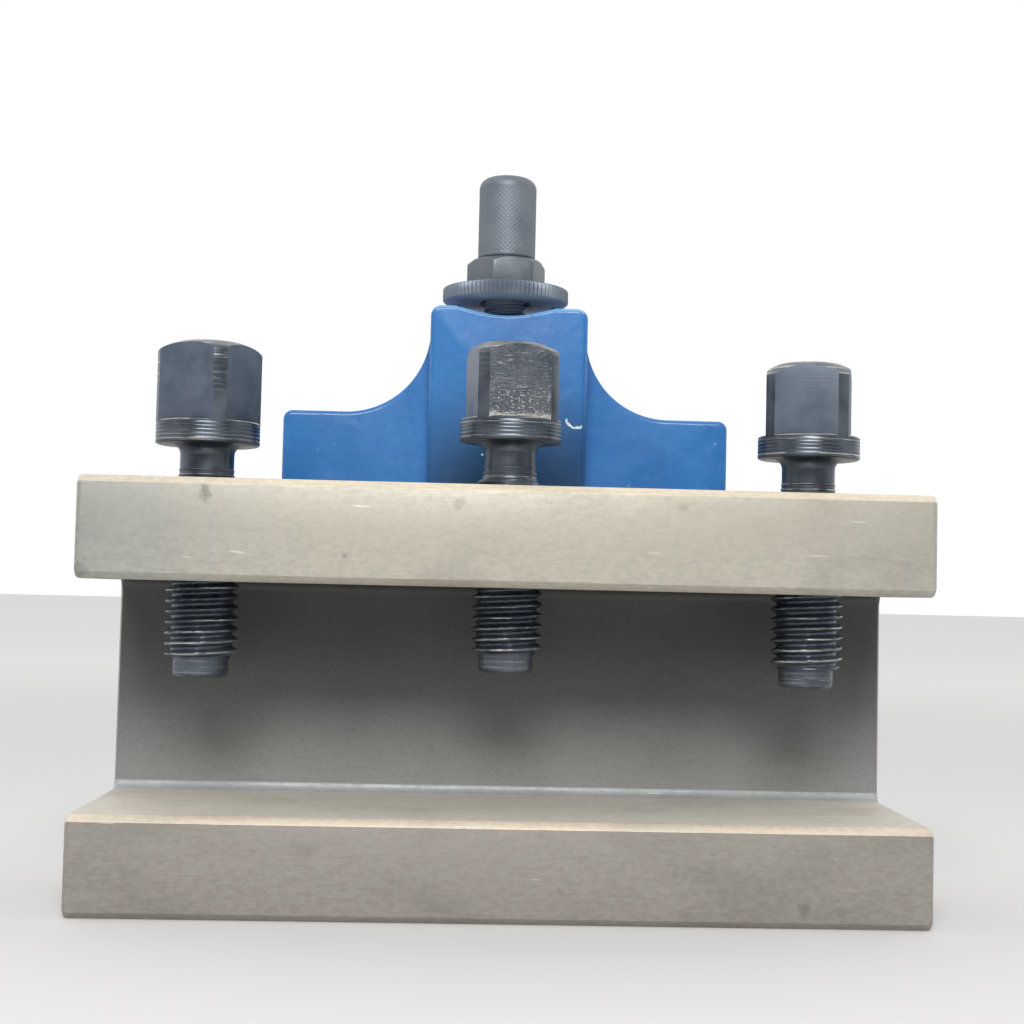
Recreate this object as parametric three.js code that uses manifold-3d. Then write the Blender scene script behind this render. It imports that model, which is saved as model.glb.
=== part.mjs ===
// Quick-change tool holder of the serrated-post kind: a channel bar that takes the tool shank,
// a painted carrier behind it with the toothed seat and T-slot, three clamp screws, and the
// height screw with its lock nut and knurled disc nut.
// Millimetres, +Z up, X along the tool slot, -Y is the open mouth of the slot, +Y is the post side.
import * as THREE from 'three';
import { mergeVertices } from 'three/addons/utils/BufferGeometryUtils.js';
import Module from 'manifold-3d';

const wasm = await Module();
wasm.setup();

// ---- driving dimensions ---------------------------------------------------------------------
const BAR_LENGTH = 135;        // along the slot
const LOWER_JAW = 15.9;        // thickness of the jaw the shank rests on
const SLOT_HEIGHT = 36.2;      // mouth of the tool slot
const UPPER_JAW = 16.2;        // thickness of the jaw that carries the clamp screws
const SLOT_DEPTH = 36;         // mouth to back wall
const WEB = 14.5;              // steel behind the slot's back wall
const EDGE_CHAMFER = 1.1;      // long edges of the jaws
const BAR_CORNER = 1.0;        // upright corners of the bar
const SLOT_FILLET = 1.6;       // root of the slot

const WING_WIDTH = 83.2;       // the toothed carrier, tip to tip
const WING_RISE = 16.2;        // wing tops above the upper jaw
const WING_CORNER = 1.7;
const TOWER_WIDTH = 29;        // centre block for the height screw
const TOWER_RISE = 35.7;       // centre block top above the upper jaw
const TOWER_PROUD = 6.5;       // centre block stands this far in front of the wings
const TOWER_CORNER = 2.0;
const SHOULDER_RADIUS = 15.8;  // hollow between wing and centre block

const SEAT_RADIUS = 70;        // hollow that wraps the post
const SEAT_WALL = 13;          // carrier thickness at the middle of the hollow
const WING_TIP = 1.7;          // flat left at each wing tip
const TOOTH_STEP = 9;          // degrees
const TOOTH_DEPTH = 3.0;
const TEETH_PER_SIDE = 3;

const T_SIDE_WALL = 3.5;       // between the T-slot for the post's hook and the centre block's sides
const T_ROOM = 0.25;           // between the height screw's thread and the T-slot's faces
const T_SHOULDER = 4;          // hook shoulder on each side of the T-slot's neck
const T_NECK_LENGTH = 7.5;
const TOWER_CAP = 18;          // solid over the T-slot, threaded for the height screw

const SCREW_END_MARGIN = 17.5; // outer screw axes from the bar's ends
const SCREW_SETBACK = 16.3;    // screw axis behind the bar's front face
const SCREW_D = 12;            // M12 x 1.75
const SCREW_COLLAR_D = 17;
const SCREW_COLLAR_H = 3.8;
const SCREW_SQUARE = 13.5;     // across flats
const SCREW_HEAD_H = 16.6;     // collar and square together
const SCREW_CROWN_H = 2.2;     // turned crown on the square
const SCREW_CROWN_D = 11.6;
const SCREW_SHANK = 38.1;      // under the collar
const SCREW_NECK_STEP = 1.6;   // neck below the thread's outer radius
const SCREW_NECK_H = 5.9;
const SCREW_DOG_STEP = 1.5;    // dog point below the thread's outer radius
const SCREW_DOG_H = 3.0;
const SCREW_THREAD_RISE = 1.2; // from the neck or the dog point out to the full thread
// screw by screw: collar height above the upper jaw, turn of the square, and how much higher its
// head and its crown are than the sizes above, because the heads are not turned all alike
const SCREWS = [
  { name: 'clamp_screw_left', lift: 6.2, turn: -25, headMore: 0.4, crownMore: -0.4 },
  { name: 'clamp_screw_center', lift: 7.9, turn: 11, headMore: 0, crownMore: 0 },
  { name: 'clamp_screw_right', lift: 6.4, turn: -15.5, headMore: -0.5, crownMore: 0.2 },
];

const SPINDLE_D = 8;           // M8 height screw
const SPINDLE_SIDE = -0.7;     // its axis is off the centre block's middle, towards -X
const GRIP_STEP = 1.4;         // grip above the height screw's radius
const GRIP_H = 15.4;
const GRIP_ROUND = 2.0;
const FOOT_STEP = 1;           // foot below the height screw's radius
const FOOT_H = 2.5;
const FOOT_REACH = 8;          // height screw end below the T-slot's roof
const HEX_FLATS = 13;
const HEX_H = 5.2;
const HEX_TURN = 70;           // degrees, a corner of the nut from +X
const DISC_D = 23.6;
const DISC_H = 2.6;
const DISC_EDGE = 0.3;         // chamfer round the disc's top and underside
const DISC_LIFT = 1.7;         // knurled nut above the centre block
const SINK_D = 23.6;           // shallow countersink around the height screw
const SINK_ANGLE = 20;         // slope of the countersink in degrees

const THREAD_GAP = 0.3;        // round the plain cylinders that stand for threads
const STACK_GAP = 0.3;         // between stacked pieces
const ROUND = 40;              // facets on a full circle

// ---- dependent dimensions ---------------------------------------------------------------------
const SLOT_ROOF = LOWER_JAW + SLOT_HEIGHT;
const BAR_HEIGHT = SLOT_ROOF + UPPER_JAW;
const BAR_DEPTH = SLOT_DEPTH + WEB;
const WING_TOP = BAR_HEIGHT + WING_RISE;
const TOWER_TOP = BAR_HEIGHT + TOWER_RISE;
const TOWER_FRONT = BAR_DEPTH - TOWER_PROUD;
const SEAT_APEX = BAR_DEPTH + SEAT_WALL;
const SEAT_CENTER = SEAT_APEX + SEAT_RADIUS;
const SEAT_EDGE_X = WING_WIDTH / 2 - WING_TIP;
const DEPTH = SEAT_CENTER - Math.sqrt(SEAT_RADIUS ** 2 - SEAT_EDGE_X ** 2);
const FRONT = -DEPTH / 2;                       // y of the bar's front face
const T_BACK = SEAT_APEX - T_NECK_LENGTH;       // rear face of the T-slot's wide part
const T_DEPTH = SPINDLE_D + 2 * T_ROOM;
const T_FRONT = T_BACK - T_DEPTH;
const T_ROOF = TOWER_TOP - TOWER_CAP;
const T_WIDTH = TOWER_WIDTH - 2 * T_SIDE_WALL;
const T_NECK = T_WIDTH - 2 * T_SHOULDER;
const SCREW_SPACING = BAR_LENGTH / 2 - SCREW_END_MARGIN;
const SCREW_NECK_D = SCREW_D - 2 * SCREW_NECK_STEP;
const SCREW_DOG_D = SCREW_D - 2 * SCREW_DOG_STEP;
const GRIP_D = SPINDLE_D + 2 * GRIP_STEP;
const FOOT_D = SPINDLE_D - 2 * FOOT_STEP;
const SPINDLE_Y = (T_FRONT + T_BACK) / 2;       // behind the front face
const DISC_BOTTOM = TOWER_TOP + DISC_LIFT;
const HEX_BOTTOM = DISC_BOTTOM + DISC_H + STACK_GAP;
const GRIP_BOTTOM = HEX_BOTTOM + HEX_H + STACK_GAP;
const FOOT_END = T_ROOF - FOOT_REACH;

// ---- shape helpers ------------------------------------------------------------------------------
// A closed three.js geometry becomes a manifold solid, and a solid becomes a geometry again.
function solid(geometry) {
  let g = geometry.index ? geometry.toNonIndexed() : geometry.clone();
  g.deleteAttribute('normal');
  g.deleteAttribute('uv');
  g = mergeVertices(g, 1e-4);
  return new wasm.Manifold(new wasm.Mesh({
    numProp: 3,
    vertProperties: Float32Array.from(g.attributes.position.array),
    triVerts: Uint32Array.from(g.index.array),
  }));
}

function geometryOf(body) {
  const m = body.getMesh();
  const g = new THREE.BufferGeometry();
  const xyz = new Float32Array(m.numVert * 3);
  for (let i = 0; i < m.numVert; i++) {
    for (let k = 0; k < 3; k++) xyz[3 * i + k] = m.vertProperties[m.numProp * i + k];
  }
  g.setAttribute('position', new THREE.BufferAttribute(xyz, 3));
  g.setIndex(new THREE.BufferAttribute(Uint32Array.from(m.triVerts), 1));
  g.computeVertexNormals();
  return g;
}

const extrude = (shape, depth, segments) =>
  new THREE.ExtrudeGeometry(shape, { depth, bevelEnabled: false, curveSegments: segments ?? 8 });

// Outline drawn in X-Y, raised along +Z from z0.
function raised(shape, z0, height, segments) {
  return solid(extrude(shape, height, segments).translate(0, 0, z0));
}

// Outline drawn in X-Z, pushed back along +Y from y0.
function pushed(shape, y0, depth, segments) {
  return solid(extrude(shape, depth, segments).rotateX(Math.PI / 2).translate(0, y0 + depth, 0));
}

// Outline drawn in Y-Z, run along X and centred on it.
function along(shape, length, segments) {
  const g = extrude(shape, length, segments);
  g.applyMatrix4(new THREE.Matrix4().makeBasis(
    new THREE.Vector3(0, 1, 0), new THREE.Vector3(0, 0, 1), new THREE.Vector3(1, 0, 0)));
  return solid(g.translate(-length / 2, 0, 0));
}

function box(x0, x1, y0, y1, z0, z1) {
  const g = new THREE.BoxGeometry(x1 - x0, y1 - y0, z1 - z0);
  return solid(g.translate((x0 + x1) / 2, (y0 + y1) / 2, (z0 + z1) / 2));
}

// Solid of revolution about Z from [radius, height] pairs; the ends close on the axis.
function turned(profile, facets = ROUND) {
  const points = profile.map(([r, z]) => new THREE.Vector2(r, z));
  points.unshift(new THREE.Vector2(0, profile[0][1]));
  points.push(new THREE.Vector2(0, profile[profile.length - 1][1]));
  return solid(new THREE.LatheGeometry(points, facets).rotateX(Math.PI / 2));
}

const rod = (radius, z0, z1, facets = ROUND) => turned([[radius, z0], [radius, z1]], facets);

function polygon(points) {
  const shape = new THREE.Shape();
  points.forEach(([x, y], i) => (i ? shape.lineTo(x, y) : shape.moveTo(x, y)));
  shape.closePath();
  return shape;
}

// Regular outline with the given distance across flats and its first corner at `turn` degrees.
function regular(sides, flats, turn) {
  const r = flats / 2 / Math.cos(Math.PI / sides);
  return polygon(Array.from({ length: sides }, (_, i) => {
    const a = THREE.MathUtils.degToRad(turn + (360 * i) / sides);
    return [r * Math.cos(a), r * Math.sin(a)];
  }));
}

// Quarter-circle points from angle a0 to a1 (degrees) about a centre.
function arc(cx, cy, r, a0, a1, steps = 6) {
  return Array.from({ length: steps + 1 }, (_, i) => {
    const a = THREE.MathUtils.degToRad(a0 + ((a1 - a0) * i) / steps);
    return [cx + r * Math.cos(a), cy + r * Math.sin(a)];
  });
}

// ---- holder body --------------------------------------------------------------------------------
// Distances behind the front face are used while shaping; the finished body is shifted once.
function channelBar() {
  const c = EDGE_CHAMFER;
  const f = SLOT_FILLET;
  const section = polygon([
    [c, 0], [BAR_DEPTH, 0], [BAR_DEPTH, BAR_HEIGHT - c], [BAR_DEPTH - c, BAR_HEIGHT], [c, BAR_HEIGHT],
    [0, BAR_HEIGHT - c], [0, SLOT_ROOF + c], [c, SLOT_ROOF],
    ...arc(SLOT_DEPTH - f, SLOT_ROOF - f, f, 90, 0, 4),
    ...arc(SLOT_DEPTH - f, LOWER_JAW + f, f, 0, -90, 4),
    [c, LOWER_JAW], [0, LOWER_JAW - c], [0, c],
  ]);
  const h = BAR_LENGTH / 2;
  const r = BAR_CORNER;
  const plan = polygon([
    ...arc(-h + r, r, r, 180, 270, 3), ...arc(h - r, r, r, 270, 360, 3),
    ...arc(h - r, BAR_DEPTH - r, r, 0, 90, 3), ...arc(-h + r, BAR_DEPTH - r, r, 90, 180, 3),
  ]);
  return along(section, BAR_LENGTH).intersect(raised(plan, 0, BAR_HEIGHT));
}

function carrierOutline() {
  const w = WING_WIDTH / 2;
  const t = TOWER_WIDTH / 2;
  const s = SHOULDER_RADIUS;
  const half = [
    ...arc(w - WING_CORNER, WING_TOP - WING_CORNER, WING_CORNER, 0, 90, 4),
    ...arc(t + s, WING_TOP + s, s, 270, 180, 12),
    ...arc(t - TOWER_CORNER, TOWER_TOP - TOWER_CORNER, TOWER_CORNER, 0, 90, 4),
  ];
  const mirrored = half.map(([x, z]) => [-x, z]).reverse();
  return polygon([[w, 0], ...half, ...mirrored, [-w, 0]]);
}

function towerOutline() {
  const t = TOWER_WIDTH / 2;
  const r = TOWER_CORNER;
  return polygon([
    [t, 0], ...arc(t - r, TOWER_TOP - r, r, 0, 90, 4), ...arc(-t + r, TOWER_TOP - r, r, 90, 180, 4), [-t, 0],
  ]);
}

// The post's round flank and its teeth, as one cutter the full height of the carrier.
function seatCutter() {
  const height = TOWER_TOP + 2;
  const parts = [rod(SEAT_RADIUS, -1, height, 160).translate([0, SEAT_CENTER, 0])];
  for (let i = 0; i < TEETH_PER_SIDE; i++) {
    for (const side of [-1, 1]) {
      const a = THREE.MathUtils.degToRad(side * (i + 1) * TOOTH_STEP);
      const d = TOOTH_DEPTH;
      const tooth = polygon([[-d, 0.4], [0, -d], [d, 0.4]]);
      const g = extrude(tooth, height + 1).translate(0, -SEAT_RADIUS, -1).rotateZ(a);
      parts.push(solid(g.translate(0, SEAT_CENTER, 0)));
    }
  }
  return parts.reduce((whole, part) => whole.add(part));
}

function holderBody() {
  let body = pushed(carrierOutline(), BAR_DEPTH, DEPTH - BAR_DEPTH)
    .add(pushed(towerOutline(), TOWER_FRONT, SEAT_APEX - TOWER_FRONT))
    .subtract(seatCutter())
    .add(channelBar());
  // T-slot, open at the bottom and closed by the cap above it
  body = body
    .subtract(box(-T_WIDTH / 2, T_WIDTH / 2, T_FRONT, T_BACK, -1, T_ROOF))
    .subtract(box(-T_NECK / 2, T_NECK / 2, T_BACK - 1, DEPTH + 1, -1, T_ROOF));
  // height screw bore and its countersink
  const bore = SPINDLE_D / 2 + THREAD_GAP;
  const sink = SINK_D / 2;
  const slope = Math.tan(THREE.MathUtils.degToRad(SINK_ANGLE));
  body = body.subtract(turned([
    [bore, T_ROOF - 1], [bore, TOWER_TOP - (sink - bore) * slope], [sink, TOWER_TOP], [sink, TOWER_TOP + 1],
  ]).translate([SPINDLE_SIDE, SPINDLE_Y, 0]));
  // clamp screw bores
  for (const i of [-1, 0, 1]) {
    const hole = rod(SCREW_D / 2 + THREAD_GAP, SLOT_ROOF - 1, BAR_HEIGHT + 1);
    body = body.subtract(hole.translate([i * SCREW_SPACING, SCREW_SETBACK, 0]));
  }
  return body.translate([0, FRONT, 0]);
}

// ---- clamp screw, z = 0 under its collar ----------------------------------------------------------
function clampScrew({ turn, headMore, crownMore }) {
  const collar = SCREW_COLLAR_D / 2;
  const head = SCREW_HEAD_H + headMore;
  const shoulder = head - SCREW_CROWN_H - crownMore;
  const crown = turned([[collar, 0], [collar, shoulder], [SCREW_CROWN_D / 2, head]]);
  const square = raised(regular(4, SCREW_SQUARE, turn + 45), SCREW_COLLAR_H - 0.5, head);
  const shank = turned([
    [SCREW_DOG_D / 2 - 0.8, -SCREW_SHANK], [SCREW_DOG_D / 2, -SCREW_SHANK + 0.8],
    [SCREW_DOG_D / 2, -SCREW_SHANK + SCREW_DOG_H],
    [SCREW_D / 2, -SCREW_SHANK + SCREW_DOG_H + SCREW_THREAD_RISE],
    [SCREW_D / 2, -SCREW_NECK_H - SCREW_THREAD_RISE], [SCREW_NECK_D / 2, -SCREW_NECK_H],
    [SCREW_NECK_D / 2, -1], [SCREW_NECK_D / 2 + 1, 0.5],
  ]);
  return crown.intersect(square).add(rod(collar, 0, SCREW_COLLAR_H)).add(shank);
}

// ---- height screw and its nuts, in heights above the base ---------------------------------------------
function heightScrew() {
  const r = SPINDLE_D / 2;
  const g = GRIP_D / 2;
  const top = GRIP_BOTTOM + GRIP_H;
  const rounded = arc(g - GRIP_ROUND, top - GRIP_ROUND, GRIP_ROUND, 0, 90, 5);
  return turned([
    [FOOT_D / 2 - 0.7, FOOT_END], [FOOT_D / 2, FOOT_END + 0.7], [FOOT_D / 2, FOOT_END + FOOT_H],
    [r, FOOT_END + FOOT_H + 1], [r, GRIP_BOTTOM], [g - 0.4, GRIP_BOTTOM], [g, GRIP_BOTTOM + 0.4],
    ...rounded,
  ]);
}

const nutBore = (z0, z1) => rod(SPINDLE_D / 2 + THREAD_GAP, z0 - 1, z1 + 1);

function hexNut() {
  const z1 = HEX_BOTTOM + HEX_H;
  const flats = HEX_FLATS / 2;
  const corner = flats / Math.cos(Math.PI / 6);
  const chamfer = turned([
    [flats, HEX_BOTTOM], [corner + 0.1, HEX_BOTTOM + 0.6], [corner + 0.1, z1 - 0.6], [flats, z1],
  ]);
  return raised(regular(6, HEX_FLATS, HEX_TURN), HEX_BOTTOM, HEX_H)
    .intersect(chamfer).subtract(nutBore(HEX_BOTTOM, z1));
}

function discNut() {
  const z1 = DISC_BOTTOM + DISC_H;
  const r = DISC_D / 2;
  return turned([
    [r - DISC_EDGE, DISC_BOTTOM], [r, DISC_BOTTOM + DISC_EDGE], [r, z1 - DISC_EDGE], [r - DISC_EDGE, z1],
  ], 56).subtract(nutBore(DISC_BOTTOM, z1));
}

// ---- assembly ---------------------------------------------------------------------------------------
const group = new THREE.Group();

function place(name, body, color, roughness, metalness, x, y, z) {
  const material = new THREE.MeshStandardMaterial({ color, roughness, metalness });
  const mesh = new THREE.Mesh(geometryOf(body), material);
  mesh.name = name;
  mesh.position.set(x, y, z);
  group.add(mesh);
}

place('holder_body', holderBody(), 0x4a82b8, 0.4, 0.3, 0, 0, 0);
SCREWS.forEach((screw, i) => {
  place(screw.name, clampScrew(screw), 0x4b535e, 0.38, 0.9,
    (i - 1) * SCREW_SPACING, FRONT + SCREW_SETBACK, BAR_HEIGHT + screw.lift);
});
place('height_screw', heightScrew(), 0x6f7f8e, 0.4, 0.9, SPINDLE_SIDE, FRONT + SPINDLE_Y, 0);
place('hex_lock_nut', hexNut(), 0x55606c, 0.4, 0.9, SPINDLE_SIDE, FRONT + SPINDLE_Y, 0);
place('knurled_disc_nut', discNut(), 0x3a3f48, 0.45, 0.9, SPINDLE_SIDE, FRONT + SPINDLE_Y, 0);

export default group;
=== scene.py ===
import math

import bmesh
import bpy
import numpy as np
from mathutils import Matrix, Vector


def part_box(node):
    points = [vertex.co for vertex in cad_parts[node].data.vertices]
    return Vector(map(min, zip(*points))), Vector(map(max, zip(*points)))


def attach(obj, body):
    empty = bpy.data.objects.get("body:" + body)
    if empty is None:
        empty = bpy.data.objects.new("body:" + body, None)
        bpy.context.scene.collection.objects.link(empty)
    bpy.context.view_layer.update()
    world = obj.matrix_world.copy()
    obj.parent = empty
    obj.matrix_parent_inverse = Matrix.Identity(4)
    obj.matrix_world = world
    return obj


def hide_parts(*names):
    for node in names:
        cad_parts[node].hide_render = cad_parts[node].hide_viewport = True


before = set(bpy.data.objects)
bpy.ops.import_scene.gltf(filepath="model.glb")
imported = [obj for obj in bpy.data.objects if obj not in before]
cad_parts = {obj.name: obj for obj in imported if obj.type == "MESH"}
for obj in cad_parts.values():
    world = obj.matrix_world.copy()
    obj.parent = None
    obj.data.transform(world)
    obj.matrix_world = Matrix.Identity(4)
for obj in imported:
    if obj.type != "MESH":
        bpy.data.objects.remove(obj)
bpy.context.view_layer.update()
MM = 0.001

# ---- sizes in millimetres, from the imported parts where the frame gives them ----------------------
body_low, body_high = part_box("holder_body")
FRONT = body_low.y / MM
BACK = body_high.y / MM
HALF = body_high.x / MM
TOWER_TOP = body_high.z / MM
# steel bar
LOWER_JAW, SLOT_ROOF, BAR_TOP = 15.9, 52.1, 68.3
SLOT_WALL = FRONT + 36.0
BAR_BACK = FRONT + 50.5
CHAMFER, SLOT_FILLET = 1.1, 1.6
BAR_END_ROUND, BAR_EDGE = 0.9, 0.16
# painted carrier
WING_HALF, WING_TOP, WING_CORNER, SHOULDER = 41.6, 84.5, 1.7, 15.8
TOWER_HALF, TOWER_CORNER = 14.5, 2.0
TOWER_FRONT = FRONT + 44.0
OVERLAP = 0.4                       # the carrier reaches this far into the bar
PLATE_FRONT = BAR_BACK - OVERLAP
TOWER_FOOT = BAR_TOP - OVERLAP
CARRIER_EDGE = 0.9                  # rounding of its edges
SEAT_APEX = FRONT + 63.5
SEAT_R, TOOTH_STEP, TOOTH_DEPTH = 70.0, 9.0, 3.0
SEAT_CENTRE = SEAT_APEX + SEAT_R
T_HALF, T_NECK_HALF, T_FRONT, T_BACK, T_ROOF = 11.0, 7.0, FRONT + 47.5, FRONT + 56.0, 86.0
# height screw and its nuts
spindle_low, spindle_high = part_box("height_screw")
SPINDLE_X = (spindle_low.x + spindle_high.x) / 2 / MM
SPINDLE_Y = (spindle_low.y + spindle_high.y) / 2 / MM
SPINDLE_BORE, SINK_R, SINK_SLOPE = 4.25, 11.6, math.tan(math.radians(20))
SPINDLE_THREAD_R, SPINDLE_PITCH, SPINDLE_THREAD_DEPTH = 3.98, 1.25, 0.72
GRIP_R, GRIP_H, GRIP_ROUND = 5.4, 15.4, 2.3
KNURL_DEPTH, KNURL_RIBS, KNURL_STEP = 0.06, 38, 0.86
CLOSER = 0.2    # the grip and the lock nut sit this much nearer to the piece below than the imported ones
HEX_HALF, HEX_TURN, NUT_EDGE, NUT_BORE, NUT_MOUTH = 6.5, 70, 0.15, 4.28, 5.1
DISC_TEETH, FACETS_PER_TOOTH = 84, 8
# clamp screws
SCREW_Y, SCREW_X = FRONT + 16.3, 50.0
SHANK, COLLAR_H, NECK_H, DOG_H = 38.1, 3.8, 5.9, 3.0
COLLAR_R, SQUARE, HEAD_EDGE, DOG_R = 8.5, 13.5, 0.22, 4.5
PITCH, THREAD_R, THREAD_DEPTH, THREAD_ROOT = 1.75, 5.97, 1.02, 4.6
# profile of the neck: height above its lower end, and radius
NECK_PROFILE = (
    (0, 4.62), (0.2, 4.62), (0.3, 4.46), (0.6, 4.46), (0.7, 4.56), (0.95, 4.56), (1.05, 4.42),
    (1.5, 4.42), (1.6, 4.5), (1.8, 4.5), (1.9, 4.4), (4.2, 4.4), (4.7, 4.45), (5.15, 4.62),
    (5.5, 4.95), (5.75, 5.45), (NECK_H, 6.1), (NECK_H, 8.15), (NECK_H + 0.06, 8.3),
    (NECK_H + 0.16, 8.42), (NECK_H + 0.3, 8.49),
)
# end of the thread: distance below the neck, radius and depth of cut
THREAD_END = ((1.05, 5.9, 0.9), (0.85, 5.65, 0.7), (0.6, 5.3, 0.5), (0.4, 5.0, 0.25), (0.2, 4.75, 0.1))
# steps between the rows of dense surfaces
THREAD_ROW, COLLAR_ROW, GRIP_ROW = 0.1, 0.07, 0.085
# order of the materials given to each piece
GROUND, MILLED, SEAT, LIT_CHAMFER, LIT_LEDGE, LIT_ROOT = range(6)
PAINTED, PAINT_SEAT, PAINT_HIGHLIGHT = range(3)
TURNED, FLAT, LIT_SIDE = range(3)


# ---- mesh helpers -------------------------------------------------------------------------------
def make(name, verts, faces):
    mesh = bpy.data.meshes.new(name)
    mesh.from_pydata([(x * MM, y * MM, z * MM) for x, y, z in verts], [], faces)
    mesh.update()
    obj = bpy.data.objects.new(name, mesh)
    bpy.context.scene.collection.objects.link(obj)
    return obj


def outward(obj):
    bm = bmesh.new()
    bm.from_mesh(obj.data)
    bmesh.ops.recalc_face_normals(bm, faces=bm.faces)
    bm.to_mesh(obj.data)
    bm.free()
    return obj


def arc(cx, cy, r, a0, a1, steps):
    out = []
    for i in range(steps + 1):
        a = math.radians(a0 + (a1 - a0) * i / steps)
        out.append((cx + r * math.cos(a), cy + r * math.sin(a)))
    return out


def prism(name, outline, place, a, b):
    """A closed prism: outline points (u, v) at depths a and b, put in space by place(u, v, depth)."""
    n = len(outline)
    verts = [place(u, v, a) for u, v in outline] + [place(u, v, b) for u, v in outline]
    faces = [list(range(n))[::-1], list(range(n, 2 * n))]
    faces += [[i, (i + 1) % n, n + (i + 1) % n, n + i] for i in range(n)]
    return outward(make(name, verts, faces))


def upright(u, v, depth):
    """Puts an outline drawn in X-Y at a height."""
    return (u, v, depth)


def facing(u, v, depth):
    """Puts an outline drawn in X-Z at a distance along Y."""
    return (u, depth, v)


def rectangle(half, front, back):
    """A rectangle in X-Y that reaches half to either side of X = 0."""
    return [(-half, front), (half, front), (half, back), (-half, back)]


def turned(name, profile, x, y, facets=96):
    """A closed solid of revolution about an upright axis from (radius, height) pairs."""
    verts, faces = [(x, y, profile[0][1]), (x, y, profile[-1][1])], []
    for r, z in profile:
        for k in range(facets):
            a = 2 * math.pi * k / facets
            verts.append((x + r * math.cos(a), y + r * math.sin(a), z))
    last = 2 + (len(profile) - 1) * facets
    for k in range(facets):
        j = (k + 1) % facets
        faces.append([0, 2 + j, 2 + k])
        faces.append([1, last + k, last + j])
        for i in range(len(profile) - 1):
            p, q = 2 + i * facets, 2 + (i + 1) * facets
            faces.append([p + k, p + j, q + j, q + k])
    return outward(make(name, verts, faces))


def applied(obj):
    """Replaces the mesh by what its modifiers make of it."""
    dg = bpy.context.evaluated_depsgraph_get()
    mesh = bpy.data.meshes.new_from_object(obj.evaluated_get(dg), depsgraph=dg)
    obj.modifiers.clear()
    old = obj.data
    obj.data = mesh
    bpy.data.meshes.remove(old)
    return obj


def combine(obj, tool, operation="DIFFERENCE"):
    mod = obj.modifiers.new("cut", "BOOLEAN")
    mod.operation, mod.object, mod.solver = operation, tool, "EXACT"
    applied(obj)
    bpy.data.objects.remove(tool)
    return obj


def tidy(obj):
    """Merges the slivers booleans leave, and turns flat regions back into single faces."""
    bm = bmesh.new()
    bm.from_mesh(obj.data)
    bmesh.ops.remove_doubles(bm, verts=bm.verts, dist=0.004 * MM)
    bmesh.ops.dissolve_limit(bm, angle_limit=math.radians(0.4), verts=bm.verts, edges=bm.edges)
    bm.to_mesh(obj.data)
    bm.free()
    return obj


def rounded(obj, width, segments=2, angle=28, weight=None, clamp=True):
    """Rounds the edges sharper than angle; weight(a, b) scales the width edge by edge. With clamp off the
    width is kept next to short edges too, so weight has to leave room there."""
    if weight:
        bm = bmesh.new()
        bm.from_mesh(obj.data)
        layers = bm.edges.layers.float
        layer = layers.get("bevel_weight_edge") or layers.new("bevel_weight_edge")
        for e in bm.edges:
            sharp = len(e.link_faces) == 2 and e.calc_face_angle(0) > math.radians(angle)
            e[layer] = weight(e.verts[0].co / MM, e.verts[1].co / MM) if sharp else 0.0
        bm.to_mesh(obj.data)
        bm.free()
    mod = obj.modifiers.new("edges", "BEVEL")
    mod.width, mod.segments, mod.angle_limit = width * MM, segments, math.radians(angle)
    mod.limit_method = "WEIGHT" if weight else "ANGLE"
    mod.use_clamp_overlap = clamp
    mod.harden_normals = False
    mod.miter_outer = "MITER_ARC"
    return applied(obj)


def smooth(obj, angle=30):
    obj.data.polygons.foreach_set("use_smooth", [True] * len(obj.data.polygons))
    obj.data.set_sharp_from_angle(angle=math.radians(angle))
    return obj


def ring_surface(name, rows, facets, radius, x, y):
    """A dense surface of revolution: radius(i, angle) gives row i's radius at each angle array."""
    ang = np.arange(facets) * 2 * np.pi / facets
    verts = [(x, y, rows[0])]
    for i, z in enumerate(rows):
        r = radius(i, ang)
        verts += list(zip(x + r * np.cos(ang), y + r * np.sin(ang), np.full(facets, z)))
    verts.append((x, y, rows[-1]))
    faces, top = [], len(verts) - 1
    for k in range(facets):
        j = (k + 1) % facets
        faces.append([0, 1 + j, 1 + k])
        end = 1 + (len(rows) - 1) * facets
        faces.append([top, end + k, end + j])
        for i in range(len(rows) - 1):
            p, q = 1 + i * facets, 1 + (i + 1) * facets
            faces.append([p + k, p + j, q + j, q + k])
    return make(name, verts, faces)


def join(name, objs):
    bm = bmesh.new()
    for o in objs:
        bm.from_mesh(o.data)
    mesh = bpy.data.meshes.new(name)
    bm.to_mesh(mesh)
    bm.free()
    for m in objs[0].data.materials:
        mesh.materials.append(m)
    for o in objs:
        bpy.data.objects.remove(o)
    out = bpy.data.objects.new(name, mesh)
    bpy.context.scene.collection.objects.link(out)
    return out


def zigzag(turns):
    """1 at whole turns and 0 halfway between them."""
    return np.abs(np.mod(turns, 1.0) * 2 - 1)


def thread_depth(z, angle, pitch):
    """0 on the crest and 1 in the root of a right-hand thread whose crest is at z = 0, angle = 0."""
    t = np.mod(z / pitch - angle / (2 * np.pi), 1.0)
    tri = 1 - np.abs(2 * t - 1)
    v = np.clip((tri - 0.14) / 0.66, 0, 1)
    return v * v * (3 - 2 * v) * 0.35 + v * 0.65


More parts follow.
